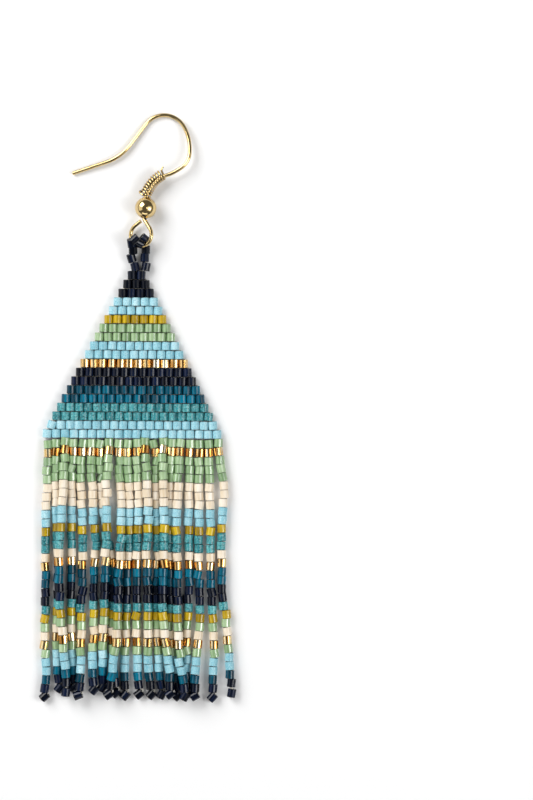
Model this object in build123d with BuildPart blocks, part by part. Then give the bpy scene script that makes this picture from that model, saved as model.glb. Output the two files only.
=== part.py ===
"""Beaded fringe earring: a stitched triangle of cylinder beads with twenty beaded strands.

The earring lies face up on a surface. X points to its right, Y from the fringe to the ear hook
and Z up from the surface. Its origin is the middle of its outline, on the surface. Sizes are in
millimetres, angles in degrees.
"""

import math
import os

from build123d import *

# Seed beads, as cylinder beads of about eleven to the inch lie in a stitched panel
bead_diameter = 1.5
bead_length = 1.5
bead_pitch = 1.605
row_pitch = 1.583
bead_radius = bead_diameter / 2

# Stitched panel, a stepped triangle whose rows have slipped a little to the right as they rise
top_row_beads = 2
bottom_row_beads = 20
panel_turn = -0.4
row_drift = 0.033
panel_center_x = -1.12
panel_bottom_y = -4.71
thread_web = 0.7
web_overlap = 0.2

# Strands of the fringe, each a string of beads that ends in a turning bead
strand_beads = 29
strand_pitch = 1.571
strand_seat_gap = 0.2
strand_side_gap = 0.06
bend_share = 0.45
least_turn = 0.6
run_samples = 6

# Ear hook, one wire bent from its eye up through the ball to the tip of its tail
wire_diameter = 0.7
wire_radius = wire_diameter / 2
eye_radius = 2.05
eye_shift_x = 0.91
eye_rise_y = 7.22
eye_twist = 23.0
eye_lift = 1.3
eye_arcs = 4
eye_arc_gap = 0.02
eye_leg_gap = 0.25
eye_leg_heading = 35.0
neck_radius = 1.0
neck_heading = -101.0
shank_heading = 91.0
bow_fall_heading = 125.0
bow_samples = 60
bow_radius = 4.1
tail_length = 6.5
tail_tip_round = 0.2

# Ball on the shank
ball_diameter = 3.85
ball_radius = ball_diameter / 2
ball_bore_clearance = 0.28
ball_rise_y = 4.81
ball_shift_x = 0.8

# Fine wire wound round the shank above the ball
coil_wire_diameter = 0.32
coil_turns = 11
coil_pitch = 0.41
coil_clearance = 0.3
coil_seat_gap = 0.25
coil_valley_share = 0.5

# Where the coil's axis starts, bends and ends, as shares of the coil's length
COIL_AXIS_SHARES = (-0.02, 0.5, 1.02)

# Bends of the hook above the ball: straight run before the bend and its radius, as shares of the
# bow's radius, and its turn, to the left where positive, from the ball to the tip of the tail
HOOK_BENDS = [
    dict(straight=0.34, radius=0.78, turn=-40.0),
    dict(straight=0.02, radius=5.00, turn=-7.0),
    dict(straight=0.02, radius=0.24, turn=-30.0),
    dict(straight=0.10, radius=2.00, turn=18.0),
    dict(straight=0.16, radius=0.85, turn=58.0),
    dict(straight=0.14, radius=2.00, turn=30.0),
    dict(straight=0.02, radius=1.00, turn=113.0),
    dict(straight=1.17, radius=2.07, turn=-35.0),
]

# Route of the bead loop, in bead diameters from the middle of the panel's top row
LOOP_ROUTE = [
    (-0.02, 0.62, 0.50),
    (-0.14, 1.22, 0.56),
    (-0.60, 2.12, 0.82),
    (-0.50, 3.10, 1.38),
    (-0.46, 3.89, 1.66),
    (0.20, 4.56, 1.16),
    (1.02, 4.33, 0.58),
    (1.24, 3.35, 0.50),
    (1.02, 2.21, 0.52),
    (1.15, 1.24, 0.50),
    (1.03, 0.62, 0.50),
]

# Where the strands bend, as shares of their length from the panel
STATIONS = (0.10, 0.20, 0.30, 0.44, 0.59, 0.74, 0.88, 1.00)

# How each strand lies: the layer that it lies in, and how far it has swung to the right of its
# own column at each station, in bead pitches
STRANDS = [
    dict(layer=1, sway=(0.00, 0.00, -0.15, -0.20, -0.15, -0.30, -0.05, -0.35)),
    dict(layer=0, sway=(-0.05, -0.05, 0.00, 0.25, 0.25, 0.00, 0.15, 0.50)),
    dict(layer=1, sway=(-0.10, -0.20, -0.30, -0.65, -0.60, -0.25, 0.15, 0.15)),
    dict(layer=0, sway=(-0.20, -0.30, -0.30, -0.25, -0.25, -0.35, -0.10, -0.10)),
    dict(layer=1, sway=(-0.20, -0.20, -0.05, 0.00, -0.10, -0.20, -0.15, -0.60)),
    dict(layer=2, sway=(-0.10, 0.10, 0.30, 0.25, 0.30, 0.15, 0.05, 0.45)),
    dict(layer=0, sway=(-0.15, 0.00, 0.40, 1.30, 1.30, 1.20, 1.40, 1.75)),
    dict(layer=1, sway=(-0.15, -0.25, -0.30, -0.35, -0.55, -0.70, -0.80, -0.85)),
    dict(layer=2, sway=(0.00, 0.20, 0.30, 0.20, -0.05, -0.05, -0.65, -1.20)),
    dict(layer=0, sway=(0.00, 0.20, 0.25, 0.05, -0.05, -0.20, -0.40, -0.25)),
    dict(layer=1, sway=(0.00, 0.30, 0.25, 0.00, 0.05, 0.00, 0.05, 0.35)),
    dict(layer=1, sway=(0.05, 0.35, 0.30, 0.15, 0.30, 0.30, 0.30, 0.75)),
    dict(layer=0, sway=(0.05, 0.10, 0.20, 0.45, 0.10, 0.30, 0.60, 0.85)),
    dict(layer=1, sway=(0.00, 0.05, 0.15, 0.05, -0.10, 0.10, 0.80, 0.75)),
    dict(layer=0, sway=(-0.20, -0.25, -0.35, -0.35, -0.25, -0.25, 0.25, 0.60)),
    dict(layer=1, sway=(-0.25, -0.30, -0.55, -0.45, -0.40, -0.35, 0.15, 0.50)),
    dict(layer=0, sway=(-0.10, -0.15, -0.15, -0.20, -0.10, -0.40, -0.45, -0.20)),
    dict(layer=1, sway=(0.05, -0.05, 0.05, -0.10, 0.15, -0.05, -0.40, -0.50)),
    dict(layer=0, sway=(0.15, 0.15, 0.30, 0.25, 0.30, 0.70, 0.60, 0.45)),
    dict(layer=0, sway=(0.45, 0.90, 0.55, 0.50, 0.55, 1.25, 1.40, 1.75)),
]


def flat_direction(heading):
    """Return the level unit vector of a heading, counted from +X towards +Y."""
    angle = math.radians(heading)
    return Vector(math.cos(angle), math.sin(angle), 0)


def keep_bends(points):
    """Return the points without those where the route hardly turns."""
    kept = [points[0]]
    for point, after in zip(points[1:], points[2:]):
        if (point - kept[-1]).get_angle(after - point) > least_turn:
            kept.append(point)
    return kept + [points[-1]]


def easy_radii(points):
    """Return the largest radius that the two runs at each bend allow."""
    radii = []
    for before, point, after in zip(points, points[1:], points[2:]):
        turn = math.radians((point - before).get_angle(after - point))
        shorter = min((point - before).length, (after - point).length)
        radii.append(bend_share * shorter / math.tan(turn / 2))
    return radii


def bent_wire(heading, bends, last_straight, unit=1.0):
    """Return the corners and radii of a flat wire from its plane's origin.

    The lengths of its bends are counted in the unit.
    """
    point = Vector(0, 0, 0)
    direction = flat_direction(heading)
    corners = [point]
    for bend in bends:
        reach = unit * bend["radius"] * math.tan(math.radians(abs(bend["turn"]) / 2))
        corner = point + direction * (unit * bend["straight"] + reach)
        heading += bend["turn"]
        direction = flat_direction(heading)
        point = corner + direction * reach
        corners.append(corner)
    corners.append(point + direction * last_straight)
    return corners, [unit * bend["radius"] for bend in bends]


# Panel

panel_plane = Plane(
    origin=(panel_center_x, panel_bottom_y, bead_radius),
    x_dir=flat_direction(panel_turn),
    z_dir=(0, 0, 1),
)
row_counts = range(bottom_row_beads, top_row_beads - 1, -1)

with BuildPart() as bead_panel:
    for row, beads in enumerate(row_counts):
        row_start = row * row_pitch - bead_length / 2
        row_plane = Plane(
            origin=panel_plane.from_local_coords((row * row_drift, row_start, 0)),
            x_dir=panel_plane.x_dir,
            z_dir=panel_plane.y_dir,
        )
        with BuildSketch(row_plane):
            with GridLocations(bead_pitch, 0, beads, 1):
                Circle(bead_radius)
            Rectangle((beads - 1) * bead_pitch, thread_web)
    extrude(amount=bead_length)
    for row, beads in enumerate(row_counts[:-1]):
        seam_start = row * row_pitch + bead_length / 2 - web_overlap
        seam_plane = Plane(
            origin=panel_plane.from_local_coords((row * row_drift, seam_start, 0)),
            x_dir=panel_plane.x_dir,
            z_dir=panel_plane.y_dir,
        )
        with BuildSketch(seam_plane):
            Rectangle((beads - 2) * bead_pitch, thread_web)
    extrude(amount=row_pitch - bead_length + 2 * web_overlap)
bead_panel.part.label = "bead_panel"


# Bead loop above the panel's top row

top_row = bottom_row_beads - top_row_beads
top_row_center = panel_plane.from_local_coords((top_row * row_drift, top_row * row_pitch, 0))
loop_points = []
for across, up, height in LOOP_ROUTE:
    offset = panel_plane.x_dir * across + panel_plane.y_dir * up
    loop_point = top_row_center + offset * bead_diameter
    loop_points.append(Vector(loop_point.X, loop_point.Y, height * bead_diameter))
loop_radii = easy_radii(loop_points)

with BuildPart() as bail_loop:
    with BuildLine() as loop_route:
        FilletPolyline(*loop_points, radius=loop_radii)
    with BuildSketch(Plane(origin=loop_route.line @ 0, z_dir=loop_route.line % 0)):
        Circle(bead_radius)
    sweep()
bail_loop.part.label = "bail_loop"


# Ear hook: the eye below the ball and the bow above it meet in the middle of the ball

eye_center = Vector(top_row_center.X + eye_shift_x, top_row_center.Y + eye_rise_y, 0)
ball_center = Vector(eye_center.X + ball_shift_x, eye_center.Y + ball_rise_y, ball_radius)

bow_corners, bow_radii = bent_wire(shank_heading, HOOK_BENDS, tail_length, bow_radius)
with BuildLine() as flat_bow:
    FilletPolyline(*bow_corners, radius=bow_radii)
fall_direction = flat_direction(bow_fall_heading)
fall_reach = max(
    (flat_bow.line @ (sample / bow_samples)).dot(fall_direction) for sample in range(bow_samples + 1)
)
bow_tilt = math.asin((ball_radius - wire_radius) / fall_reach)
bow_normal = Vector(0, 0, math.cos(bow_tilt)) + fall_direction * math.sin(bow_tilt)
bow_plane = Plane(
    origin=ball_center,
    x_dir=Vector(1, 0, 0) - bow_normal * bow_normal.X,
    z_dir=bow_normal,
)
bow_points = [bow_plane.from_local_coords(corner) for corner in bow_corners]

twist = math.radians(eye_twist)
lift = math.radians(eye_lift)
eye_across = Vector(math.cos(twist), 0, math.sin(twist))
eye_up = Vector(0, math.cos(lift), -math.sin(lift))
eye_plane = Plane(origin=ball_center, x_dir=eye_across, z_dir=eye_across.cross(eye_up))
neck = flat_direction(neck_heading) * ball_radius
to_eye = Vector(-ball_shift_x / math.cos(twist), -ball_rise_y, 0) - neck
leg_spread = math.degrees(math.asin(eye_radius / to_eye.length))
leg_heading = math.degrees(math.atan2(to_eye.Y, to_eye.X)) + leg_spread
leg_length = math.sqrt(to_eye.length**2 - eye_radius**2)
neck_turn = leg_heading - neck_heading
neck_reach = neck_radius * math.tan(math.radians(neck_turn / 2))
eye_turn = (eye_leg_heading - 360 - leg_heading) / eye_arcs
eye_bends = [dict(straight=ball_radius - neck_reach, radius=neck_radius, turn=neck_turn)]
for arc in range(eye_arcs):
    run = leg_length - neck_reach if arc == 0 else eye_arc_gap
    eye_bends.append(dict(straight=run, radius=eye_radius, turn=eye_turn))
eye_corners, eye_radii = bent_wire(neck_heading, eye_bends, 0)
leg_direction = flat_direction(eye_leg_heading)
leg_approach = eye_corners[-1].dot(leg_direction)
leg_stop = ball_radius + wire_radius + eye_leg_gap
leg_run = -leg_approach - math.sqrt(leg_approach**2 - eye_corners[-1].length**2 + leg_stop**2)
eye_corners[-1] = eye_corners[-1] + leg_direction * leg_run
eye_points = [eye_plane.from_local_coords(corner) for corner in eye_corners]

with BuildPart() as ear_hook:
    with BuildLine() as bow_route:
        FilletPolyline(*bow_points, radius=bow_radii)
    with BuildSketch(Plane(origin=ball_center, z_dir=bow_route.line % 0)):
        Circle(wire_radius)
    sweep()
    tail_tip = bow_route.line @ 1
    tip_edge = ear_hook.edges().filter_by(GeomType.CIRCLE).sort_by_distance(tail_tip)[0]
    fillet(tip_edge, tail_tip_round)
    with BuildLine() as eye_route:
        FilletPolyline(*eye_points, radius=eye_radii)
    with BuildSketch(Plane(origin=ball_center, z_dir=eye_route.line % 0)):
        Circle(wire_radius)
    sweep()
    with Locations(ball_center):
        Sphere(wire_radius)
ear_hook.part.label = "ear_hook"


# Ball, drilled along the shank

bore_direction = (bow_route.line % 0) - (eye_route.line % 0)
with BuildPart(Plane(origin=ball_center, z_dir=bore_direction)) as ball_bead:
    Sphere(ball_radius)
    Hole(wire_radius + ball_bore_clearance)
ball_bead.part.label = "ball_bead"


# Wound wire: a sleeve round the shank with a ridge for each turn

coil_bore = wire_radius + coil_clearance
coil_crest = coil_bore + coil_wire_diameter
coil_valley = coil_bore + coil_valley_share * coil_wire_diameter
coil_start = ball_radius + coil_seat_gap
coil_length = coil_turns * coil_pitch
shank = bow_route.wire()

with BuildPart() as coil_wrap:
    with BuildLine() as coil_axis:
        axis_lengths = [coil_start + share * coil_length for share in COIL_AXIS_SHARES]
        ThreePointArc(*[shank.position_at(length, PositionMode.LENGTH) for length in axis_lengths])
    axis_first, axis_last = COIL_AXIS_SHARES[0], COIL_AXIS_SHARES[-1]
    for step in range(2 * coil_turns + 1):
        share = (step / (2 * coil_turns) - axis_first) / (axis_last - axis_first)
        with BuildSketch(Plane(origin=coil_axis.line @ share, z_dir=coil_axis.line % share)):
            Circle(coil_crest if step % 2 else coil_valley)
    loft(ruled=True)
    with BuildSketch(Plane(origin=coil_axis.line @ 0, z_dir=coil_axis.line % 0)):
        Circle(coil_bore)
    sweep(path=coil_axis.line, mode=Mode.SUBTRACT)
coil_wrap.part.label = "coil_wrap"


# Strands: the lower layers are laid first and the others rest on them

strand_length = (strand_beads + 1) * strand_pitch
strand_top_y = -bead_length / 2 - strand_seat_gap
reach = bead_diameter + strand_side_gap
middle_column = (bottom_row_beads - 1) / 2
strand_tops = [
    panel_plane.from_local_coords(((column - middle_column) * bead_pitch, strand_top_y, 0))
    for column in range(bottom_row_beads)
]


def lie_at(strand, share):
    """Return the x of a strand at a share of its length."""
    stops = (0.0,) + STATIONS
    sways = (0.0,) + STRANDS[strand]["sway"]
    for start, end, sway_start, sway_end in zip(stops, stops[1:], sways, sways[1:]):
        if share <= end:
            break
    blend = (share - start) / (end - start)
    return strand_tops[strand].X + (sway_start + (sway_end - sway_start) * blend) * bead_pitch


def height_at(strand, share, laid):
    """Return the height at which the strands laid before hold a strand."""
    nearest = min(range(len(STATIONS)), key=lambda station: abs(STATIONS[station] - share))
    height = bead_radius
    for lower, heights in laid.items():
        side = abs(lie_at(strand, share) - lie_at(lower, share))
        if side < reach:
            height = max(height, heights[nearest] + math.sqrt(reach**2 - side**2))
    return height


def lay_strands():
    """Return each strand's height at each station, with the lowest layer laid first."""
    laid = {}
    stops = (0.0,) + STATIONS + (1.0,)
    for strand in sorted(range(bottom_row_beads), key=lambda strand: STRANDS[strand]["layer"]):
        heights = []
        for before, after in zip(stops, stops[2:]):
            shares = [before + (after - before) * sample / run_samples for sample in range(run_samples + 1)]
            heights.append(max(height_at(strand, share, laid) for share in shares))
        laid[strand] = heights
    return laid


strand_heights = lay_strands()
strands = []
for strand, top in enumerate(strand_tops):
    points = [top]
    for share, height in zip(STATIONS, strand_heights[strand]):
        points.append(Vector(lie_at(strand, share), top.Y - share * strand_length, height))
    points = keep_bends(points)
    radii = easy_radii(points)
    with BuildPart() as string:
        with BuildLine() as string_route:
            FilletPolyline(*points, radius=radii)
        with BuildSketch(Plane(origin=string_route.line @ 0, z_dir=string_route.line % 0)):
            Circle(bead_radius)
        sweep()
    string.part.label = f"strand_{strand + 1:02d}"
    strands.append(string)
    tube_volume = math.pi * bead_radius**2 * string_route.wire().length
    print(string.part.label, "least radius", min(radii), "share of tube", string.part.volume / tube_volume)


# Files, one for each piece

print("bail_loop radii", [round(radius, 2) for radius in loop_radii])
print("tip of the tail", tail_tip, "direction", bow_route.line % 1)
print("ball", ball_center, "bow tilt", math.degrees(bow_tilt))
os.makedirs("parts", exist_ok=True)
for piece in [ear_hook, coil_wrap, ball_bead, bail_loop, bead_panel, *strands]:
    export_step(piece.part, f"parts/{piece.part.label}.step")
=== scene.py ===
"""Looks of the beaded fringe earring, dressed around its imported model.

The seed beads, the thread through them and the turns of fine wire are modelled here and stand
for the plain solids of the frame. The ear hook and the ball stay as they are and get their
finish. Lengths are in metres, so a size is written as millimetres times MM.
"""

import logging
import math
import random
from dataclasses import dataclass, field
from enum import Enum

import bpy
import numpy as np
from mathutils import Matrix, Vector


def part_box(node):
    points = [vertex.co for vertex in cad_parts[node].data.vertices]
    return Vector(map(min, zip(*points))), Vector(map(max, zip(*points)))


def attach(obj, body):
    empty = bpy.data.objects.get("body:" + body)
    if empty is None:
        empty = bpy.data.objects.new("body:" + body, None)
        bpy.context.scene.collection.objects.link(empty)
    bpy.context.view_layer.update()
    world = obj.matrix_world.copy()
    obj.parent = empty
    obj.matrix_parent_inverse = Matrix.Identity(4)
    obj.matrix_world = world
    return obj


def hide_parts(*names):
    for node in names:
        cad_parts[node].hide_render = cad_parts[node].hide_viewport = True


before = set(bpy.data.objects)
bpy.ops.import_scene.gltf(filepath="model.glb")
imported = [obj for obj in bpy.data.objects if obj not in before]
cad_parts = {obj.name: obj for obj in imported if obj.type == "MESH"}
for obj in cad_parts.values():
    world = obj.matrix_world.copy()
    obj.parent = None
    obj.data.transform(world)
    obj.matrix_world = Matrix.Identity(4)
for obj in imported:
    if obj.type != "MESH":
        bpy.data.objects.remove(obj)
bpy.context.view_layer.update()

MM = 0.001
log = logging.getLogger("earring")


class Slot(Enum):
    """Names of the record's material slots, which nothing in this script uses."""

    GOLD_PLATE = "gold_plate"
    NAVY_GLASS = "navy_glass"
    PANEL_GLASS = "panel_glass"
    FRINGE_GLASS = "fringe_glass"


class Glass(Enum):
    """Colours of seed bead in the earring."""

    NAVY = "navy"
    SKY = "sky"
    MUSTARD = "mustard"
    SAGE = "sage"
    CREAM = "cream"
    GOLD = "gold"
    PEACOCK = "peacock"
    TEAL = "teal"


def linear(hex_colour: str) -> tuple[float, float, float, float]:
    """Turn an sRGB hex colour to linear light.

    Args:
        hex_colour: Six hex digits, such as "9FD3E6".

    Returns:
        Red, green, blue and an alpha of one.
    """
    parts = [int(hex_colour[place:place + 2], 16) / 255 for place in (0, 2, 4)]
    light = [c / 12.92 if c <= 0.04045 else ((c + 0.055) / 1.055) ** 2.4 for c in parts]
    return (*light, 1.0)


def add_node(
    tree: bpy.types.NodeTree, kind: str, settings: dict | None = None, links: dict | None = None
) -> bpy.types.Node:
    """Add a node to a tree with its settings and links.

    Args:
        tree: The tree that gets the node.
        kind: Blender's type name of the node.
        settings: The node's own options by name, or its socket values by name or number.
        links: The sockets that feed its inputs, by the input's name or number.

    Returns:
        The new node.
    """
    node = tree.nodes.new(kind)
    for name, value in (settings or {}).items():
        if isinstance(name, str) and hasattr(node, name):
            setattr(node, name, value)
        else:
            node.inputs[name].default_value = value
    for name, socket in (links or {}).items():
        tree.links.new(socket, node.inputs[name])
    return node


def new_tree(name: str) -> tuple[bpy.types.Material, bpy.types.NodeTree]:
    """Start a material with an empty node tree.

    Args:
        name: The material's name.

    Returns:
        The material and its tree.
    """
    material = bpy.data.materials.new(name)
    material.use_nodes = True
    material.node_tree.nodes.clear()
    return material, material.node_tree


def select_only(*pieces: bpy.types.Object) -> None:
    """Select these objects alone, with the first as the active one."""
    bpy.ops.object.select_all(action="DESELECT")
    for piece in pieces:
        piece.select_set(True)
    bpy.context.view_layer.objects.active = pieces[0]


def join_pieces(name: str, pieces: list[bpy.types.Object]) -> bpy.types.Object:
    """Join meshes into one piece.

    Args:
        name: The piece's name.
        pieces: The objects to join.

    Returns:
        The joined object.
    """
    select_only(*pieces)
    bpy.ops.object.join()
    joined = bpy.context.view_layer.objects.active
    joined.name = name
    joined.data.name = name
    return joined


@dataclass(frozen=True)
class SeedGlass:
    """Finish of one colour of cylinder seed bead: cut glass cane, tumbled and then coloured."""

    name: str
    tones: tuple[str, ...]
    roughness: float
    dull_roughness: float
    ior: float = 1.5
    metallic: float = 0.0
    flecks: tuple[tuple[str, float], ...] = ()
    fleck_grain: float = 0.22 * MM
    fleck_shift: float = 7.3 * MM
    streaks_round: float = 7.0
    streaks_along: float = 0.6
    streak_depth: float = 0.02 * MM
    streak_strength: float = 0.3
    streak_detail: float = 2.0
    streak_roughness: float = 0.6
    streak_edges: tuple[float, float] = (0.34, 0.66)
    own_shift: tuple[float, float, float] = (61.0, 37.0, 83.0)
    tone_share: float = 0.45
    fleck_edges: tuple[float, float] = (0.54, 0.66)
    # How dark the painted shade on the bead's rims, ends and bore is, as a share of its darkest tone
    painted_end_shade: float = 0.2

    def make(self) -> bpy.types.Material:
        """Build the bead's material.

        Returns:
            The material, which reads the bead's UV map, the mask of its ends that get painted shade,
            and its random tone and dullness.
        """
        material, tree = new_tree(self.name)
        tone = add_node(tree, "ShaderNodeAttribute", {"attribute_name": "bead_tone"}).outputs["Fac"]
        dull = add_node(tree, "ShaderNodeAttribute", {"attribute_name": "bead_dull"}).outputs["Fac"]
        wall = add_node(tree, "ShaderNodeUVMap", {"uv_map": "UVMap"}).outputs["UV"]
        own_place = add_node(
            tree, "ShaderNodeCombineXYZ", links={"X": tone, "Y": dull, "Z": tone}
        ).outputs["Vector"]
        stretched = add_node(
            tree,
            "ShaderNodeVectorMath",
            {"operation": "MULTIPLY", 1: (self.streaks_round, self.streaks_along, 1.0)},
            {0: wall},
        ).outputs["Vector"]
        shifted = add_node(
            tree,
            "ShaderNodeVectorMath",
            {"operation": "MULTIPLY_ADD", 1: self.own_shift},
            {0: own_place, 2: stretched},
        ).outputs["Vector"]
        streak = add_node(
            tree,
            "ShaderNodeTexNoise",
            {"Scale": 1.0, "Detail": self.streak_detail, "Roughness": self.streak_roughness},
            {"Vector": shifted},
        ).outputs["Fac"]
        band = add_node(
            tree,
            "ShaderNodeMapRange",
            {"From Min": self.streak_edges[0], "From Max": self.streak_edges[1]},
            {"Value": streak},
        ).outputs["Result"]
        mixed = add_node(
            tree,
            "ShaderNodeMix",
            {"data_type": "FLOAT", 0: self.tone_share},
            {2: band, 3: tone},
        ).outputs[0]
        ramp = add_node(tree, "ShaderNodeValToRGB", links={"Fac": mixed})
        self.set_tones(ramp.color_ramp)
        colour = ramp.outputs["Color"]
        for number, (fleck, share) in enumerate(self.flecks):
            colour = self.add_flecks(tree, colour, fleck, share, number)
        # Painted shade: rims, ends and bore go dark, standing in for the shade in the gaps between
        # beads
        end = add_node(tree, "ShaderNodeAttribute", {"attribute_name": "bead_end_shade_mask"}).outputs["Fac"]
        core = (*(part * self.painted_end_shade for part in linear(self.tones[0])[:3]), 1.0)
        colour = add_node(
            tree, "ShaderNodeMix", {"data_type": "RGBA", 7: core}, {0: end, 6: colour}
        ).outputs[2]
        roughness = add_node(
            tree,
            "ShaderNodeMapRange",
            {"To Min": self.roughness, "To Max": self.dull_roughness},
            {"Value": dull},
        ).outputs["Result"]
        bump = add_node(
            tree,
            "ShaderNodeBump",
            {"Strength": self.streak_strength, "Distance": self.streak_depth},
            {"Height": streak},
        ).outputs["Normal"]
        shader = add_node(
            tree,
            "ShaderNodeBsdfPrincipled",
            {"IOR": self.ior, "Metallic": self.metallic},
            {"Base Color": colour, "Roughness": roughness, "Normal": bump},
        )
        add_node(tree, "ShaderNodeOutputMaterial", links={"Surface": shader.outputs["BSDF"]})
        return material

    def set_tones(self, ramp: bpy.types.ColorRamp) -> None:
        """Spread the glass's tones evenly over a colour ramp, from dark to light."""
        stops = ramp.elements
        stops[0].color, stops[1].color = linear(self.tones[0]), linear(self.tones[-1])
        for number, tone in enumerate(self.tones[1:-1], start=1):
            stops.new(number / (len(self.tones) - 1)).color = linear(tone)

    def add_flecks(
        self,
        tree: bpy.types.NodeTree,
        colour: bpy.types.NodeSocket,
        fleck: str,
        most: float,
        number: int,
    ) -> bpy.types.NodeSocket:
        """Scatter small flecks over the colour.

        Args:
            tree: The material's tree.
            colour: The colour without flecks.
            fleck: The flecks' own colour.
            most: How far a fleck hides the colour, from none at 0 to all of it at 1.
            number: The number of this layer of flecks.

        Returns:
            The colour with flecks.
        """
        place = add_node(tree, "ShaderNodeTexCoord").outputs["Object"]
        shifted = add_node(
            tree,
            "ShaderNodeVectorMath",
            {"operation": "ADD", 1: (number * self.fleck_shift, 0.0, 0.0)},
            {0: place},
        ).outputs["Vector"]
        grain = add_node(
            tree,
            "ShaderNodeTexNoise",
            {"Scale": 1 / self.fleck_grain, "Detail": 1.0},
            {"Vector": shifted},
        ).outputs["Fac"]
        share = add_node(
            tree,
            "ShaderNodeMapRange",
            {"From Min": self.fleck_edges[0], "From Max": self.fleck_edges[1], "To Max": most},
            {"Value": grain},
        ).outputs["Result"]
        return add_node(
            tree,
            "ShaderNodeMix",
            {"data_type": "RGBA", 7: linear(fleck)},
            {0: share, 6: colour},
        ).outputs[2]


GLASSES = {
    # Opaque glass with a near-black glossy glaze
    Glass.NAVY: SeedGlass("navy_glazed_glass", ("010309", "050C1C", "0E1E3E"), 0.06, 0.22, ior=1.36),
    # Opaque glass tumbled matte, so it hardly shines, with fine dark pits and pale specks
    Glass.SKY: SeedGlass(
        "sky_matte_glass", ("74B6C6", "93CCD9", "BEE5ED"), 0.4, 0.7,
        flecks=(("5A9DB2", 0.5), ("DDF3F6", 0.4)),
    ),
    # Opaque glossy glass of an olive yellow
    Glass.MUSTARD: SeedGlass("mustard_glossy_glass", ("7E6602", "BA9A08", "E0C226"), 0.1, 0.3, ior=1.6),
    # Opaque glass with a lustre film, whose reflection is brighter than bare glass
    Glass.SAGE: SeedGlass("sage_lustre_glass", ("6E9062", "90B27F", "B8D0A4"), 0.1, 0.35, ior=2.0),
    # Opaque glossy glass of a warm white
    Glass.CREAM: SeedGlass("cream_glossy_glass", ("DCC8A8", "EEDFC8", "F7EEDF"), 0.2, 0.5),
    # Glass with a bright gold plating. Its upright colour streaks from dark brown to near white are
    # painted reflection, on top of the real reflections that its bump streaks give
    Glass.GOLD: SeedGlass(
        "gold_plated_glass", ("70461A", "BE8640", "E4BE7C", "F9E6B6", "FFFCEE"), 0.12, 0.25,
        metallic=1.0, streaks_round=9.0, streaks_along=0.3, streak_strength=0.5, tone_share=0.15,
    ),
    # Dark blue glass with a lustre film
    Glass.PEACOCK: SeedGlass(
        "peacock_lustre_glass", ("001E2A", "004A60", "007C98"), 0.08, 0.22, ior=1.38,
    ),
    # Opaque mottled glass with dark pits and pale specks
    Glass.TEAL: SeedGlass(
        "teal_mottled_glass", ("10646C", "2C8C94", "66BABC"), 0.2, 0.45,
        flecks=(("0A464C", 0.9), ("A8DCDA", 0.4)), fleck_grain=0.3 * MM,
    ),
}


@dataclass(frozen=True)
class GoldPlate:
    """Finish of the ear wire, its coil and its ball: brass with a polished pale gold plating."""

    name: str = "polished_gold_plate"
    low: str = "CBAC70"
    high: str = "E6D09C"
    # Colour of the painted shade in the grooves between a coil's turns, or none
    groove_shade_tint: str | None = None
    roughness: float = 0.08
    worn_roughness: float = 0.18
    scratch_grain: float = 0.35 * MM
    scratch_depth: float = 0.004 * MM
    scratch_strength: float = 0.3
    scratch_edges: tuple[float, float] = (0.3, 0.7)
    drift_grain: float = 1.5 * MM
    groove_edges: tuple[float, float] = (0.04, 0.3)

    def make(self) -> bpy.types.Material:
        """Build the plating, with a slow drift of colour and a fine waviness from polishing.

        Returns:
            The material.
        """
        material, tree = new_tree(self.name)
        place = add_node(tree, "ShaderNodeTexCoord").outputs["Object"]
        drift = add_node(
            tree,
            "ShaderNodeTexNoise",
            {"Scale": 1 / self.drift_grain, "Detail": 2.0},
            {"Vector": place},
        ).outputs["Fac"]
        waves = add_node(
            tree,
            "ShaderNodeTexNoise",
            {"Scale": 1 / self.scratch_grain, "Detail": 3.0},
            {"Vector": place},
        ).outputs["Fac"]
        colour = add_node(
            tree,
            "ShaderNodeMix",
            {"data_type": "RGBA", 6: linear(self.low), 7: linear(self.high)},
            {0: drift},
        ).outputs[2]
        # Painted shade: the wire darkens on its flanks and inner side, towards the grooves between
        # turns
        if self.groove_shade_tint:
            depth = add_node(tree, "ShaderNodeAttribute", {"attribute_name": "groove"}).outputs["Fac"]
            painted_groove_shade = add_node(
                tree,
                "ShaderNodeMapRange",
                {"From Min": self.groove_edges[0], "From Max": self.groove_edges[1]},
                {"Value": depth},
            ).outputs["Result"]
            colour = add_node(
                tree,
                "ShaderNodeMix",
                {"data_type": "RGBA", 7: linear(self.groove_shade_tint)},
                {0: painted_groove_shade, 6: colour},
            ).outputs[2]
        roughness = add_node(
            tree,
            "ShaderNodeMapRange",
            {
                "From Min": self.scratch_edges[0],
                "From Max": self.scratch_edges[1],
                "To Min": self.roughness,
                "To Max": self.worn_roughness,
            },
            {"Value": waves},
        ).outputs["Result"]
        bump = add_node(
            tree,
            "ShaderNodeBump",
            {"Strength": self.scratch_strength, "Distance": self.scratch_depth},
            {"Height": waves},
        ).outputs["Normal"]
        shader = add_node(
            tree,
            "ShaderNodeBsdfPrincipled",
            {"Metallic": 1.0},
            {"Base Color": colour, "Roughness": roughness, "Normal": bump},
        )
        add_node(tree, "ShaderNodeOutputMaterial", links={"Surface": shader.outputs["BSDF"]})
        return material


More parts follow.
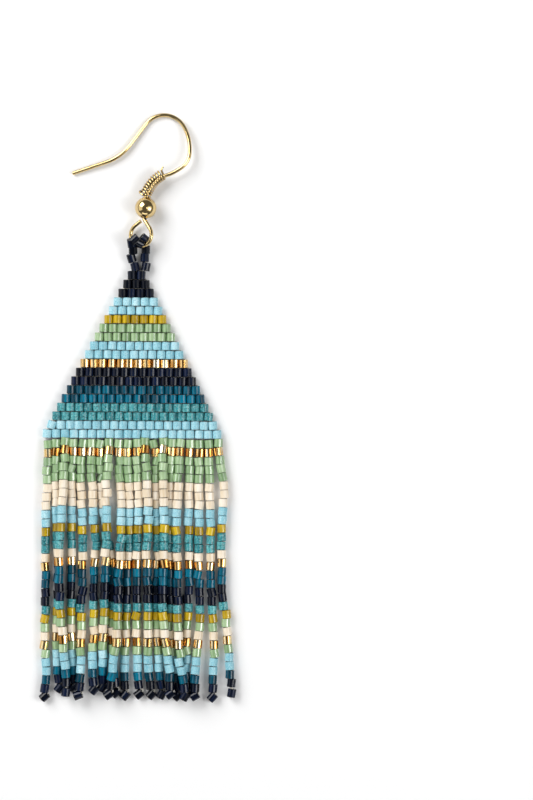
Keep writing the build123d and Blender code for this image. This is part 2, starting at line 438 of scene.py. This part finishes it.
@dataclass(frozen=True)
class NylonThread:
    """Finish of the beading thread: twisted white nylon, lightly waxed."""

    name: str = "white_nylon_thread"
    low: str = "D8D2C4"
    high: str = "F4F1E8"
    ply_grain: float = 0.12 * MM
    ply_depth: float = 0.02 * MM
    ply_strength: float = 0.5
    roughness: float = 0.45

    def make(self) -> bpy.types.Material:
        """Build the thread's material, with its plies as a fine mottle.

        Returns:
            The material.
        """
        material, tree = new_tree(self.name)
        place = add_node(tree, "ShaderNodeTexCoord").outputs["Object"]
        ply = add_node(
            tree,
            "ShaderNodeTexNoise",
            {"Scale": 1 / self.ply_grain, "Detail": 1.0},
            {"Vector": place},
        ).outputs["Fac"]
        colour = add_node(
            tree,
            "ShaderNodeMix",
            {"data_type": "RGBA", 6: linear(self.low), 7: linear(self.high)},
            {0: ply},
        ).outputs[2]
        bump = add_node(
            tree,
            "ShaderNodeBump",
            {"Strength": self.ply_strength, "Distance": self.ply_depth},
            {"Height": ply},
        ).outputs["Normal"]
        shader = add_node(
            tree,
            "ShaderNodeBsdfPrincipled",
            {"Roughness": self.roughness},
            {"Base Color": colour, "Normal": bump},
        )
        add_node(tree, "ShaderNodeOutputMaterial", links={"Surface": shader.outputs["BSDF"]})
        return material


@dataclass
class BeadTray:
    """The seed beads that every string and stitch is made from."""

    diameter: float = 1.58 * MM
    length: float = 1.5 * MM
    bore: float = 0.8 * MM
    rim: float = 0.055 * MM
    sides: int = 12
    casts: int = 6
    out_of_round: float = 0.02
    uneven: float = 0.02
    crease: float = math.radians(24)
    end_facing: float = 0.99
    seed: int = 11
    glasses: dict[Glass, bpy.types.Material] = field(default_factory=dict)
    meshes: list[bpy.types.Mesh] = field(default_factory=list)

    def fill(self) -> None:
        """Model the beads and make their glasses."""
        self.glasses = {glass: finish.make() for glass, finish in GLASSES.items()}
        shaping = random.Random(self.seed)
        self.meshes = [self.model_bead(number, shaping) for number in range(self.casts)]

    def model_bead(self, number: int, shaping: random.Random) -> bpy.types.Mesh:
        """Model one drilled cylinder bead with chamfered rims, a little out of round.

        Args:
            number: The number of this cast.
            shaping: The source of its small irregularities.

        Returns:
            The bead's mesh, with its bore along Z.
        """
        bpy.ops.object.select_all(action="DESELECT")
        bpy.ops.mesh.primitive_cylinder_add(
            vertices=self.sides, radius=self.diameter / 2, depth=self.length, end_fill_type="NGON"
        )
        bead = bpy.context.view_layer.objects.active
        self.select_ends(bead)
        bpy.ops.object.mode_set(mode="EDIT")
        bpy.ops.mesh.bevel(offset=self.rim, segments=1, affect="EDGES")
        bpy.ops.object.mode_set(mode="OBJECT")
        self.select_ends(bead)
        bpy.ops.object.mode_set(mode="EDIT")
        bpy.ops.mesh.inset(thickness=self.diameter / 2 - self.rim - self.bore / 2)
        bpy.ops.mesh.bridge_edge_loops()
        bpy.ops.mesh.select_all(action="SELECT")
        bpy.ops.mesh.normals_make_consistent(inside=False)
        bpy.ops.object.mode_set(mode="OBJECT")
        for side in range(self.sides):
            self.press_side(bead, side, 1 + shaping.uniform(-self.out_of_round, self.out_of_round))
        select_only(bead)
        bpy.ops.object.shade_smooth_by_angle(angle=self.crease)
        mesh = bead.data
        mesh.name = f"bead_cast_{number}"
        # Mask of the rims, ends and bore, which the material darkens as painted shade
        wall = (self.length - self.rim) / 2
        ends = mesh.attributes.new("bead_end_shade_mask", "FLOAT", "POINT")
        ends.data.foreach_set("value", [float(abs(corner.co.z) > wall) for corner in mesh.vertices])
        bpy.data.objects.remove(bead)
        return mesh

    def select_ends(self, bead: bpy.types.Object) -> None:
        """Select the two flat end faces of a bead and nothing else."""
        mesh = bead.data
        for part in (mesh.vertices, mesh.edges, mesh.polygons):
            part.foreach_set("select", [False] * len(part))
        for face in mesh.polygons:
            if abs(face.normal.z) > self.end_facing and len(face.vertices) == self.sides:
                face.select = True
                for corner in face.vertices:
                    mesh.vertices[corner].select = True
        for edge in mesh.edges:
            edge.select = all(mesh.vertices[end].select for end in edge.vertices) and (
                abs(mesh.vertices[edge.vertices[0]].co.z - mesh.vertices[edge.vertices[1]].co.z)
                < self.rim / 2
            )

    def press_side(self, bead: bpy.types.Object, side: int, share: float) -> None:
        """Move one column of the outer wall in or out.

        Args:
            bead: The bead.
            side: The number of the column, counted round the bead.
            share: How far from the axis it goes, as a share of where it is.
        """
        outer = self.diameter / 2 - 2 * self.rim
        for corner in bead.data.vertices:
            column = round(math.atan2(corner.co.y, corner.co.x) / math.tau * self.sides) % self.sides
            if column == side and corner.co.xy.length > outer:
                corner.co.x *= share
                corner.co.y *= share

    def take_bead(
        self, glass: Glass, place: Vector, along: Vector, picking: random.Random
    ) -> bpy.types.Object:
        """Copy a bead and set it in its place, with its own mesh.

        Args:
            glass: The bead's colour.
            place: The middle of the bead.
            along: The direction of its bore.
            picking: The source of its cast, spin, size and tone.

        Returns:
            The bead, with its place in its mesh.
        """
        mesh = picking.choice(self.meshes).copy()
        spin = Matrix.Rotation(picking.uniform(0, math.tau), 4, "Z")
        wide = 1 + picking.uniform(-self.uneven, self.uneven)
        tall = 1 + picking.uniform(-self.uneven, self.uneven)
        turn = along.to_track_quat("Z", "Y").to_matrix().to_4x4()
        mesh.transform(
            Matrix.Translation(place) @ turn @ spin @ Matrix.Diagonal((wide, wide, tall, 1))
        )
        sunk = min(0.0, min(corner.co.z for corner in mesh.vertices))
        mesh.transform(Matrix.Translation((0, 0, -sunk)))
        for name in ("bead_tone", "bead_dull"):
            values = mesh.attributes.new(name, "FLOAT", "POINT")
            values.data.foreach_set("value", [picking.random()] * len(mesh.vertices))
        mesh.materials.clear()
        mesh.materials.append(self.glasses[glass])
        bead = bpy.data.objects.new(mesh.name, mesh)
        bpy.context.scene.collection.objects.link(bead)
        return bead


@dataclass
class ThreadReel:
    """The thread that runs through the beads."""

    diameter: float = 0.22 * MM
    material: bpy.types.Material | None = None

    def pull(self, points: list[Vector]) -> bpy.types.Object:
        """Lay a thread along a line.

        Args:
            points: The points that its curve follows.

        Returns:
            The thread as a mesh.
        """
        curve = bpy.data.curves.new("thread", "CURVE")
        curve.dimensions = "3D"
        curve.resolution_u = 3
        curve.bevel_depth = self.diameter / 2
        curve.bevel_resolution = 1
        curve.use_fill_caps = True
        spline = curve.splines.new("NURBS")
        spline.points.add(len(points) - 1)
        for knot, point in zip(spline.points, points):
            knot.co = (*point, 1)
        spline.order_u = 3
        spline.use_endpoint_u = True
        thread = bpy.data.objects.new("thread", curve)
        bpy.context.scene.collection.objects.link(thread)
        select_only(thread)
        bpy.ops.object.convert(target="MESH")
        thread = bpy.context.view_layer.objects.active
        thread.data.materials.clear()
        thread.data.materials.append(self.material)
        return thread


@dataclass
class NodeLine:
    """Centre line of a tube-like node, found by slicing its mesh."""

    node: str

    def points(self) -> np.ndarray:
        """Return the corners of the node's mesh, one to a row."""
        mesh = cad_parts[self.node].data
        points = np.empty(len(mesh.vertices) * 3)
        mesh.vertices.foreach_get("co", points)
        return points.reshape(-1, 3)

    def reach(self, direction: Vector) -> tuple[float, float]:
        """Return how far back and how far forward the node reaches along a direction."""
        levels = self.points() @ np.array(direction)
        return float(levels.min()), float(levels.max())

    def centres(self, direction: Vector, starts: list[float]) -> list[Vector]:
        """Slice the node's mesh square to a direction.

        Args:
            direction: The unit vector that the slices are square to.
            starts: Where each slice is along that direction, in metres.

        Returns:
            The middle of each slice.
        """
        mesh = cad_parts[self.node].data
        points = self.points()
        ends = np.empty(len(mesh.edges) * 2, dtype=int)
        mesh.edges.foreach_get("vertices", ends)
        first, second = points[ends.reshape(-1, 2)[:, 0]], points[ends.reshape(-1, 2)[:, 1]]
        across = np.array(direction)
        level_first, level_second = first @ across, second @ across
        found = []
        for start in starts:
            crossed = (level_first - start) * (level_second - start) < 0
            share = (start - level_first[crossed]) / (level_second[crossed] - level_first[crossed])
            cut = first[crossed] + share[:, None] * (second[crossed] - first[crossed])
            found.append(Vector((cut.min(axis=0) + cut.max(axis=0)) / 2))
        return found


@dataclass
class BeadPanel:
    """The stitched triangle of seed beads, row on row from its wide bottom edge."""

    tray: BeadTray
    reel: ThreadReel
    bottom_beads: int = 20
    top_beads: int = 2
    bead_pitch: float = 1.605 * MM
    row_pitch: float = 1.583 * MM
    row_drift: float = 0.033 * MM
    turn: float = math.radians(-0.4)
    centre_x: float = -1.12 * MM
    bottom_y: float = -4.71 * MM
    slack: float = 0.03 * MM
    tilt: float = math.radians(2.2)
    seam_reach: float = 0.3 * MM
    seam_height: float = 0.3 * MM
    seed: int = 3

    # Colour of each row, from the two beads at the top down to the twenty at the bottom
    ROWS = (
        [Glass.NAVY] * 3
        + [Glass.SKY] * 2
        + [Glass.MUSTARD]
        + [Glass.SAGE] * 2
        + [Glass.SKY] * 2
        + [Glass.GOLD]
        + [Glass.NAVY] * 2
        + [Glass.PEACOCK] * 2
        + [Glass.TEAL] * 2
        + [Glass.SKY] * 2
    )

    # Beads that sit askew: row of so many beads, number from the left, turn in degrees
    ASKEW = {(19, 0): -14.0, (20, 0): -5.0, (19, 18): 6.0, (18, 17): -6.0, (16, 15): 6.0}

    @property
    def right(self) -> Vector:
        """Direction of the rows, from left to right."""
        return Vector((math.cos(self.turn), math.sin(self.turn), 0))

    @property
    def up(self) -> Vector:
        """Direction across the rows, towards the ear hook."""
        return Vector((-math.sin(self.turn), math.cos(self.turn), 0))

    def place(self, across: float, row: float) -> Vector:
        """Find a point of the panel's middle plane.

        Args:
            across: Its distance to the right of the middle of its row.
            row: Its row, counted up from the bottom row as zero.

        Returns:
            The point.
        """
        origin = Vector((self.centre_x, self.bottom_y, self.tray.diameter / 2))
        drifted = across + row * self.row_drift
        return origin + self.right * drifted + self.up * row * self.row_pitch

    def build(self) -> bpy.types.Object:
        """Stitch the panel.

        Returns:
            The panel as one piece.
        """
        stitching = random.Random(self.seed)
        parts = []
        for row, beads in enumerate(range(self.bottom_beads, self.top_beads - 1, -1)):
            glass = self.ROWS[beads - self.top_beads]
            for column in range(beads):
                across = (column - (beads - 1) / 2) * self.bead_pitch
                askew = math.radians(self.ASKEW.get((beads, column), 0.0))
                lean = askew + stitching.uniform(-self.tilt, self.tilt)
                along = Matrix.Rotation(lean, 3, "Z") @ self.up
                shift = Vector((stitching.uniform(-1, 1), stitching.uniform(-1, 1), 0)) * self.slack
                place = self.place(across, row) + shift
                parts.append(self.tray.take_bead(glass, place, along, stitching))
            parts.append(self.stitch_seam(row, beads))
        return join_pieces("panel_beads", parts)

    def stitch_seam(self, row: int, beads: int) -> bpy.types.Object:
        """Lay the thread that holds a row to the one above it.

        Args:
            row: The row's number, counted up from the bottom one.
            beads: How many beads the row has.

        Returns:
            The thread.
        """
        reach = (beads - 1) / 2 * self.bead_pitch + self.seam_reach
        line = [self.place(across, row + 0.5) for across in (-reach, 0, reach)]
        for point in line:
            point.z = self.seam_height
        return self.reel.pull(line)


@dataclass
class BeadLoop:
    """The loop of navy beads through the eye of the ear wire."""

    tray: BeadTray
    reel: ThreadReel
    panel: BeadPanel
    seed: int = 5

    # Middle of each bead: right of the middle of the panel's top row, up from that row and above
    # the surface, in millimetres, then how its bore leans to the left and rises, in degrees
    BEADS = (
        (-0.27, 1.55, 0.80, 13.0, 4.0),
        (-0.90, 3.10, 1.10, 16.0, 12.0),
        (-0.60, 4.58, 1.68, 0.0, 24.0),
        (-0.85, 5.72, 2.20, 8.0, 24.0),
        (-0.22, 6.34, 3.10, -47.0, 0.0),
        (0.50, 5.72, 2.40, -118.0, -22.0),
        (1.40, 6.52, 1.45, -130.0, -18.0),
        (1.62, 4.64, 0.78, 180.0, 0.0),
        (1.45, 3.19, 0.78, 178.0, 0.0),
        (1.69, 1.57, 0.76, 170.0, 0.0),
    )

    def build(self) -> bpy.types.Object:
        """Thread the loop.

        Returns:
            The loop as one piece.
        """
        threading = random.Random(self.seed)
        top = self.panel.place(0, self.panel.bottom_beads - self.panel.top_beads)
        parts, line = [], []
        for across, up, height, lean, rise in self.BEADS:
            place = top + (self.panel.right * across + self.panel.up * up) * MM
            place.z = height * MM
            level = Matrix.Rotation(math.radians(lean), 3, "Z") @ self.panel.up
            slope = math.radians(rise)
            along = level * math.cos(slope) + Vector((0, 0, math.sin(slope)))
            parts.append(self.tray.take_bead(Glass.NAVY, place, along, threading))
            line += [place - along * self.tray.length / 2, place + along * self.tray.length / 2]
        parts.append(self.reel.pull(line))
        return join_pieces("loop_beads", parts)


@dataclass
class FringeStrand:
    """One strand of the fringe: twenty-nine beads and a turning bead set crosswise."""

    number: int
    tray: BeadTray
    reel: ThreadReel
    slack: float = 0.07 * MM
    tilt: float = math.radians(4.0)
    odd_share: float = 0.11
    odd_factor: float = 2.6
    thread_bow: float = 0.24 * MM
    thread_fall: float = 0.6
    slice_step: float = 0.25 * MM
    first_seed: int = 100

    # Colours from the panel down to the last bead above the turning bead
    ORDER = (
        [Glass.SAGE, Glass.GOLD]
        + [Glass.SAGE] * 3
        + [Glass.CREAM] * 3
        + [Glass.SKY] * 2
        + [Glass.MUSTARD]
        + [Glass.TEAL] * 2
        + [Glass.CREAM, Glass.GOLD]
        + [Glass.PEACOCK] * 2
        + [Glass.NAVY] * 2
        + [Glass.TEAL, Glass.MUSTARD, Glass.SAGE, Glass.CREAM, Glass.GOLD, Glass.SAGE]
        + [Glass.SKY] * 2
        + [Glass.PEACOCK, Glass.NAVY]
    )

    # How each strand is drawn up: from bead to bead, how far it has slipped down from the panel and
    # from its last bead to its turning bead, in millimetres, and that bead's turn in degrees
    DRAWN = (
        (1.565, 0.35, 1.45, 42),
        (1.510, 0.06, 1.72, 55),
        (1.547, -0.12, 1.78, 84),
        (1.513, 0.02, 1.50, 35),
        (1.560, 0.05, 1.50, 20),
        (1.530, 0.16, 1.42, 50),
        (1.538, 0.14, 1.85, 40),
        (1.524, 0.14, 1.45, 60),
        (1.548, 0.03, 1.70, 35),
        (1.550, 0.05, 1.80, 50),
        (1.552, -0.10, 1.68, 38),
        (1.572, -0.10, 1.68, 48),
        (1.545, 0.06, 1.80, 60),
        (1.572, -0.06, 1.45, 36),
        (1.565, -0.10, 1.70, 44),
        (1.570, -0.03, 1.45, 62),
        (1.547, 0.02, 1.55, 40),
        (1.562, 0.05, 1.42, 30),
        (1.567, 0.04, 1.62, 48),
        (1.545, 0.06, 1.85, 80),
    )

    @property
    def node(self) -> str:
        """Name of the node that the strand stands for."""
        return f"strand_{self.number:02d}"

    def line(self) -> tuple[list[Vector], list[float]]:
        """Follow the node from the panel to its end.

        Returns:
            Points of its centre line and how far along the strand each one lies.
        """
        low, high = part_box(self.node)
        steps = int((high.y - low.y) / self.slice_step)
        levels = [-high.y + (step + 0.5) * self.slice_step for step in range(steps)]
        points = NodeLine(self.node).centres(Vector((0, -1, 0)), levels)
        lift = self.tray.diameter / 2 - min(point.z for point in points)
        for point in points:
            point.z += max(lift, 0.0)
        lengths = [0.0]
        for before, point in zip(points, points[1:]):
            lengths.append(lengths[-1] + (point - before).length)
        return points, lengths

    def build(self) -> bpy.types.Object:
        """String the strand.

        Returns:
            The strand as one piece.
        """
        stringing = random.Random(self.first_seed + self.number)
        points, lengths = self.line()
        pitch, slip, drop, turn = self.DRAWN[self.number - 1]
        first = self.tray.length / 2 - self.slice_step / 2 + slip * MM

        def at(length: float) -> Vector:
            """Return the point of the line at a length from its start."""
            inside = min(max(length, 0.0), lengths[-1])
            after = next(place for place, reach in enumerate(lengths) if reach >= inside)
            before = max(after - 1, 0)
            span = lengths[after] - lengths[before]
            share = (inside - lengths[before]) / span if span else 0.0
            return points[before].lerp(points[after], share)

        parts, thread = [], []
        place, along = points[0], Vector((0, -1, 0))
        for number, glass in enumerate(self.ORDER):
            length = first + number * pitch * MM
            half = self.tray.length / 2
            along = (at(length + half) - at(length - half)).normalized()
            place = at(length)
            thread.append(place.copy())
            odd = self.odd_factor if stringing.random() < self.odd_share else 1.0
            lean = Matrix.Rotation(stringing.gauss(0, self.tilt) * odd, 3, "Z")
            shift = Vector((stringing.gauss(0, self.slack) * odd, 0, 0))
            parts.append(self.tray.take_bead(glass, place + shift, lean @ along, stringing))
        level = Vector((along.x, along.y, 0)).normalized()
        end = place + level * drop * MM
        end.z = max(end.z, self.tray.diameter / 2)
        across = Vector((math.cos(math.radians(turn)), math.sin(math.radians(turn)), 0))
        parts.append(self.tray.take_bead(Glass.NAVY, end, across, stringing))
        thread.append(place + along * self.tray.length / 2)
        parts += [self.reel.pull(thread), self.turn_thread(thread[-1], end, across)]
        return join_pieces(f"{self.node}_beads", parts)

    def turn_thread(self, out: Vector, end: Vector, across: Vector) -> bpy.types.Object:
        """Bring the thread round through the turning bead and back.

        Args:
            out: Where it leaves the last upright bead.
            end: The middle of the turning bead.
            across: The direction of that bead's bore.

        Returns:
            The loop of thread.
        """
        half = self.tray.length / 2
        left = end - across * (half + self.thread_bow)
        right = end + across * (half + self.thread_bow)
        return self.reel.pull(
            [
                out,
                out.lerp(left, self.thread_fall) - across * self.thread_bow,
                left,
                end - across * half / 2,
                end + across * half / 2,
                right,
                out.lerp(right, self.thread_fall) + across * self.thread_bow,
                out,
            ]
        )


@dataclass
class WireCoil:
    """The fine wire wound round the shank above the ball."""

    material: bpy.types.Material
    turns: float = 10.5
    wire: float = 0.36 * MM
    radius: float = 0.9 * MM
    steps: int = 24
    profile_sides: int = 10
    start_heading: float = math.radians(68)
    end_heading: float = math.radians(35)
    end_inset: float = 0.02 * MM
    foot_reach: float = 0.12 * MM
    top_reach: float = 0.7 * MM
    side_rest: float = 0.27 * MM
    samples: int = 24
    free_turn: float = math.radians(70)
    free_bend: float = math.radians(85)
    flick_lift: float = 0.3
    bulge: float = 0.34 * MM
    bulge_middle: float = math.radians(190)
    bulge_reach: float = math.radians(100)

    def build(self) -> bpy.types.Object:
        """Wind the coil straight, then bend it along the shank.

        Returns:
            The coil as one piece.
        """
        line = self.axis_line()
        length = sum((after - before).length for before, after in zip(line, line[1:]))
        bpy.ops.object.select_all(action="DESELECT")
        bpy.ops.mesh.primitive_circle_add(
            vertices=self.profile_sides,
            radius=self.wire / 2,
            location=(self.radius, 0, self.wire / 2),
            rotation=(math.pi / 2, 0, 0),
            fill_type="NGON",
        )
        coil = bpy.context.view_layer.objects.active
        bpy.ops.object.transform_apply(location=True, rotation=True, scale=True)
        wind = coil.modifiers.new("wind", "SCREW")
        wind.angle = math.tau * self.turns
        wind.screw_offset = length - self.wire
        wind.steps = wind.render_steps = int(self.turns * self.steps)
        wind.use_smooth_shade = True
        bpy.ops.object.modifier_apply(modifier="wind")
        self.free_ends(coil, (length - self.wire) / self.turns)
        coil.data.transform(Matrix.Diagonal((-1, 1, 1, 1)))
        guide = self.guide(line)
        bend = coil.modifiers.new("bend", "CURVE")
        bend.object = guide
        bend.deform_axis = "POS_Z"
        select_only(coil)
        bpy.ops.object.modifier_apply(modifier="bend")
        bpy.data.objects.remove(guide)
        bpy.ops.object.mode_set(mode="EDIT")
        bpy.ops.mesh.select_all(action="SELECT")
        bpy.ops.mesh.normals_make_consistent(inside=False)
        bpy.ops.object.mode_set(mode="OBJECT")
        bpy.ops.object.shade_smooth()
        coil.name = "coil_turns"
        coil.data.materials.clear()
        coil.data.materials.append(self.material)
        return coil

    def axis_line(self) -> list[Vector]:
        """Follow the middle of the coil's node from the ball to its far end.

        Returns:
            Points along the bend through the middles of its ends and its waist.
        """
        node = NodeLine("coil_wrap")
        start_way = Vector((math.cos(self.start_heading), math.sin(self.start_heading), 0))
        end_way = Vector((math.cos(self.end_heading), math.sin(self.end_heading), 0))
        start = node.centres(start_way, [node.reach(start_way)[0] + self.end_inset])[0]
        end = node.centres(end_way, [node.reach(end_way)[1] - self.end_inset])[0]
        chord_way = (end - start).normalized()
        waist = node.centres(chord_way, [(start + end).dot(chord_way) / 2])[0]
        pull = waist * 2 - (start + end) / 2
        aside = Vector((-chord_way.y, chord_way.x, 0)).normalized() * self.side_rest
        chord = (end - start).length
        line = []
        for sample in range(self.samples):
            share = sample / (self.samples - 1) * (1 + (self.foot_reach + self.top_reach) / chord)
            share -= self.foot_reach / chord
            line.append(start.lerp(pull, share).lerp(pull.lerp(end, share), share) + aside)
        return line

    def guide(self, line: list[Vector]) -> bpy.types.Object:
        """Make the curve that bends the coil.

        Args:
            line: The points that it goes through.

        Returns:
            The curve, which is removed when the coil is bent.
        """
        curve = bpy.data.curves.new("shank_guide", "CURVE")
        curve.dimensions = "3D"
        spline = curve.splines.new("POLY")
        spline.points.add(len(line) - 1)
        for knot, point in zip(spline.points, line):
            knot.co = (*point, 1)
        guide = bpy.data.objects.new("shank_guide", curve)
        bpy.context.scene.collection.objects.link(guide)
        return guide

    def free_ends(self, coil: bpy.types.Object, pitch: float) -> None:
        """Open the first turn, let the wire's other end stand away, and mark the grooves for painted
        shade.

        Args:
            coil: The straight coil, with its first turn at the foot of Z.
            pitch: How far the wire climbs in a turn.
        """
        root = math.tau * self.turns - self.free_turn
        grooves = []
        for corner in coil.data.vertices:
            grooves.append(0.5 - (corner.co.xy.length - self.radius) / self.wire)
            part = math.atan2(corner.co.y, corner.co.x) % math.tau
            climbed = (corner.co.z - self.wire / 2) / pitch
            angle = part + math.tau * round(climbed - part / math.tau)
            if angle > root:
                corner.co = self.freed(corner.co, angle, root, pitch)
            away = abs(angle - self.bulge_middle) / self.bulge_reach
            if away < 1:
                outward = corner.co.xy.normalized()
                corner.co.xy += outward * self.bulge * (1 + math.cos(math.pi * away)) / 2
        values = coil.data.attributes.new("groove", "FLOAT", "POINT")
        values.data.foreach_set("value", grooves)

    def freed(self, corner: Vector, angle: float, root: float, pitch: float) -> Vector:
        """Move a corner of the wire's free end from its turn to a curve that runs off along the coil.

        Args:
            corner: The corner on the turn.
            angle: How far it lies along the wire, as an angle round the coil.
            root: The angle at which the free end begins.
            pitch: How far the wire climbs in a turn.

        Returns:
            The corner's new place.
        """
        length = (angle - root) * self.radius
        full = self.free_turn * self.radius
        turned = self.free_bend * length / full
        onward = full / self.free_bend * math.sin(turned)
        along = full / self.free_bend * (1 - math.cos(turned))
        outward = Vector((math.cos(root), math.sin(root), 0))
        around = Vector((-math.sin(root), math.cos(root), 0))
        climb = corner.z - self.wire / 2 - pitch * angle / math.tau
        out = corner.xy.length - self.radius
        middle = Vector((0, 0, self.wire / 2 + pitch * root / math.tau + along)) + around * onward
        profile = Vector((0, 0, math.cos(turned))) - around * math.sin(turned)
        return middle + outward * (self.radius + out + self.flick_lift * length) + profile * climb


@dataclass
class Studio:
    """Pale floor, plain soft light and the camera above the earring."""

    view_x: float = 23.02 * MM
    view_y: float = 1.4 * MM
    view_height: float = 144.0 * MM
    lens: float = 100.0
    sensor: float = 36.0
    floor_size: float = 1.2
    floor_tint: str = "F6F6F6"
    floor_roughness: float = 0.9
    sky: float = 0.13

    # Name of each softbox, where it hangs and its size in metres, and its power in watts
    SOFTBOXES = (
        ("right_core", (0.37, -0.08, 0.36), (0.2, 0.22), 0.95),
        ("right_wide", (0.38, -0.08, 0.37), (0.5, 0.5), 0.55),
        ("left_key", (-0.34, 0.32, 0.36), (0.38, 0.38), 3.3),
        ("left_fill", (-0.42, 0.0, 0.26), (0.4, 0.4), 0.5),
        ("front_strip", (-0.08, -0.5, 0.18), (0.5, 0.16), 0.4),
        ("top_glint", (0.16, -0.02, 0.5), (0.05, 0.05), 0.1),
    )

    def build(self) -> None:
        """Set up the camera, the floor and the lights."""
        self.set_camera()
        self.lay_floor()
        for name, place, size, power in self.SOFTBOXES:
            self.add_softbox(name, place, size, power)
        self.set_world()
        bpy.context.scene.view_settings.view_transform = "Standard"

    def set_camera(self) -> None:
        """Hang the camera straight above, at the height that frames the view."""
        data = bpy.data.cameras.new("camera")
        data.lens = self.lens
        data.sensor_width = self.sensor
        camera = bpy.data.objects.new("camera", data)
        camera.location = (self.view_x, self.view_y, self.view_height * self.lens / self.sensor)
        bpy.context.scene.collection.objects.link(camera)
        bpy.context.scene.camera = camera

    def lay_floor(self) -> None:
        """Lay the smooth white card that the earring lies on."""
        bpy.ops.object.select_all(action="DESELECT")
        bpy.ops.mesh.primitive_plane_add(size=self.floor_size, location=(0, 0, 0))
        floor = bpy.context.view_layer.objects.active
        floor.name = "floor"
        material, tree = new_tree("white_card")
        shader = add_node(
            tree,
            "ShaderNodeBsdfPrincipled",
            {"Base Color": linear(self.floor_tint), "Roughness": self.floor_roughness},
        )
        add_node(tree, "ShaderNodeOutputMaterial", links={"Surface": shader.outputs["BSDF"]})
        floor.data.materials.append(material)

    def add_softbox(self, name: str, place: tuple, size: tuple, power: float) -> None:
        """Hang a rectangular lamp that faces the earring.

        Args:
            name: The lamp's name.
            place: Where it hangs, in metres.
            size: Its width and height in metres.
            power: Its power in watts.
        """
        data = bpy.data.lights.new(name, "AREA")
        data.shape = "RECTANGLE"
        data.size, data.size_y = size
        data.energy = power
        lamp = bpy.data.objects.new(name, data)
        lamp.location = place
        lamp.rotation_euler = Vector(place).to_track_quat("Z", "Y").to_euler()
        bpy.context.scene.collection.objects.link(lamp)

    def set_world(self) -> None:
        """Fill the room with an even grey light."""
        world = bpy.data.worlds.new("studio_room")
        world.use_nodes = True
        world.node_tree.nodes.clear()
        grey = (self.sky, self.sky, self.sky, 1.0)
        light = add_node(world.node_tree, "ShaderNodeBackground", {"Color": grey, "Strength": 1.0})
        add_node(
            world.node_tree, "ShaderNodeOutputWorld", links={"Surface": light.outputs["Background"]}
        )
        bpy.context.scene.world = world


def add_piece(piece: bpy.types.Object, node: str) -> None:
    """Fasten a new piece to the earring in place of its node.

    Args:
        piece: The piece.
        node: The node that it stands for.
    """
    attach(piece, "root")
    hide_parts(node)
    log.info("%s: %d faces", piece.name, len(piece.data.polygons))


def dress_node(node: str, material: bpy.types.Material) -> None:
    """Give a node of the frame its finish."""
    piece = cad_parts[node]
    piece.data.materials.clear()
    piece.data.materials.append(material)
    log.info("%s dressed with %s", node, material.name)


def main() -> None:
    """Build the studio and the earring's pieces in order."""
    logging.basicConfig(level=logging.INFO, format="%(name)s: %(message)s")
    Studio().build()
    gold = GoldPlate().make()
    for node in ("ear_hook", "ball_bead"):
        dress_node(node, gold)
    tray = BeadTray()
    tray.fill()
    reel = ThreadReel(material=NylonThread().make())
    panel = BeadPanel(tray, reel)
    add_piece(panel.build(), "bead_panel")
    add_piece(BeadLoop(tray, reel, panel).build(), "bail_loop")
    # The coil's plating gets near-black painted shade in the grooves between its turns
    coil_gold = GoldPlate("coil_gold_plate", "D2A458", "F6DEA8", groove_shade_tint="201004").make()
    add_piece(WireCoil(coil_gold).build(), "coil_wrap")
    for number in range(1, panel.bottom_beads + 1):
        strand = FringeStrand(number, tray, reel)
        add_piece(strand.build(), strand.node)


if __name__ == "__main__":
    main()
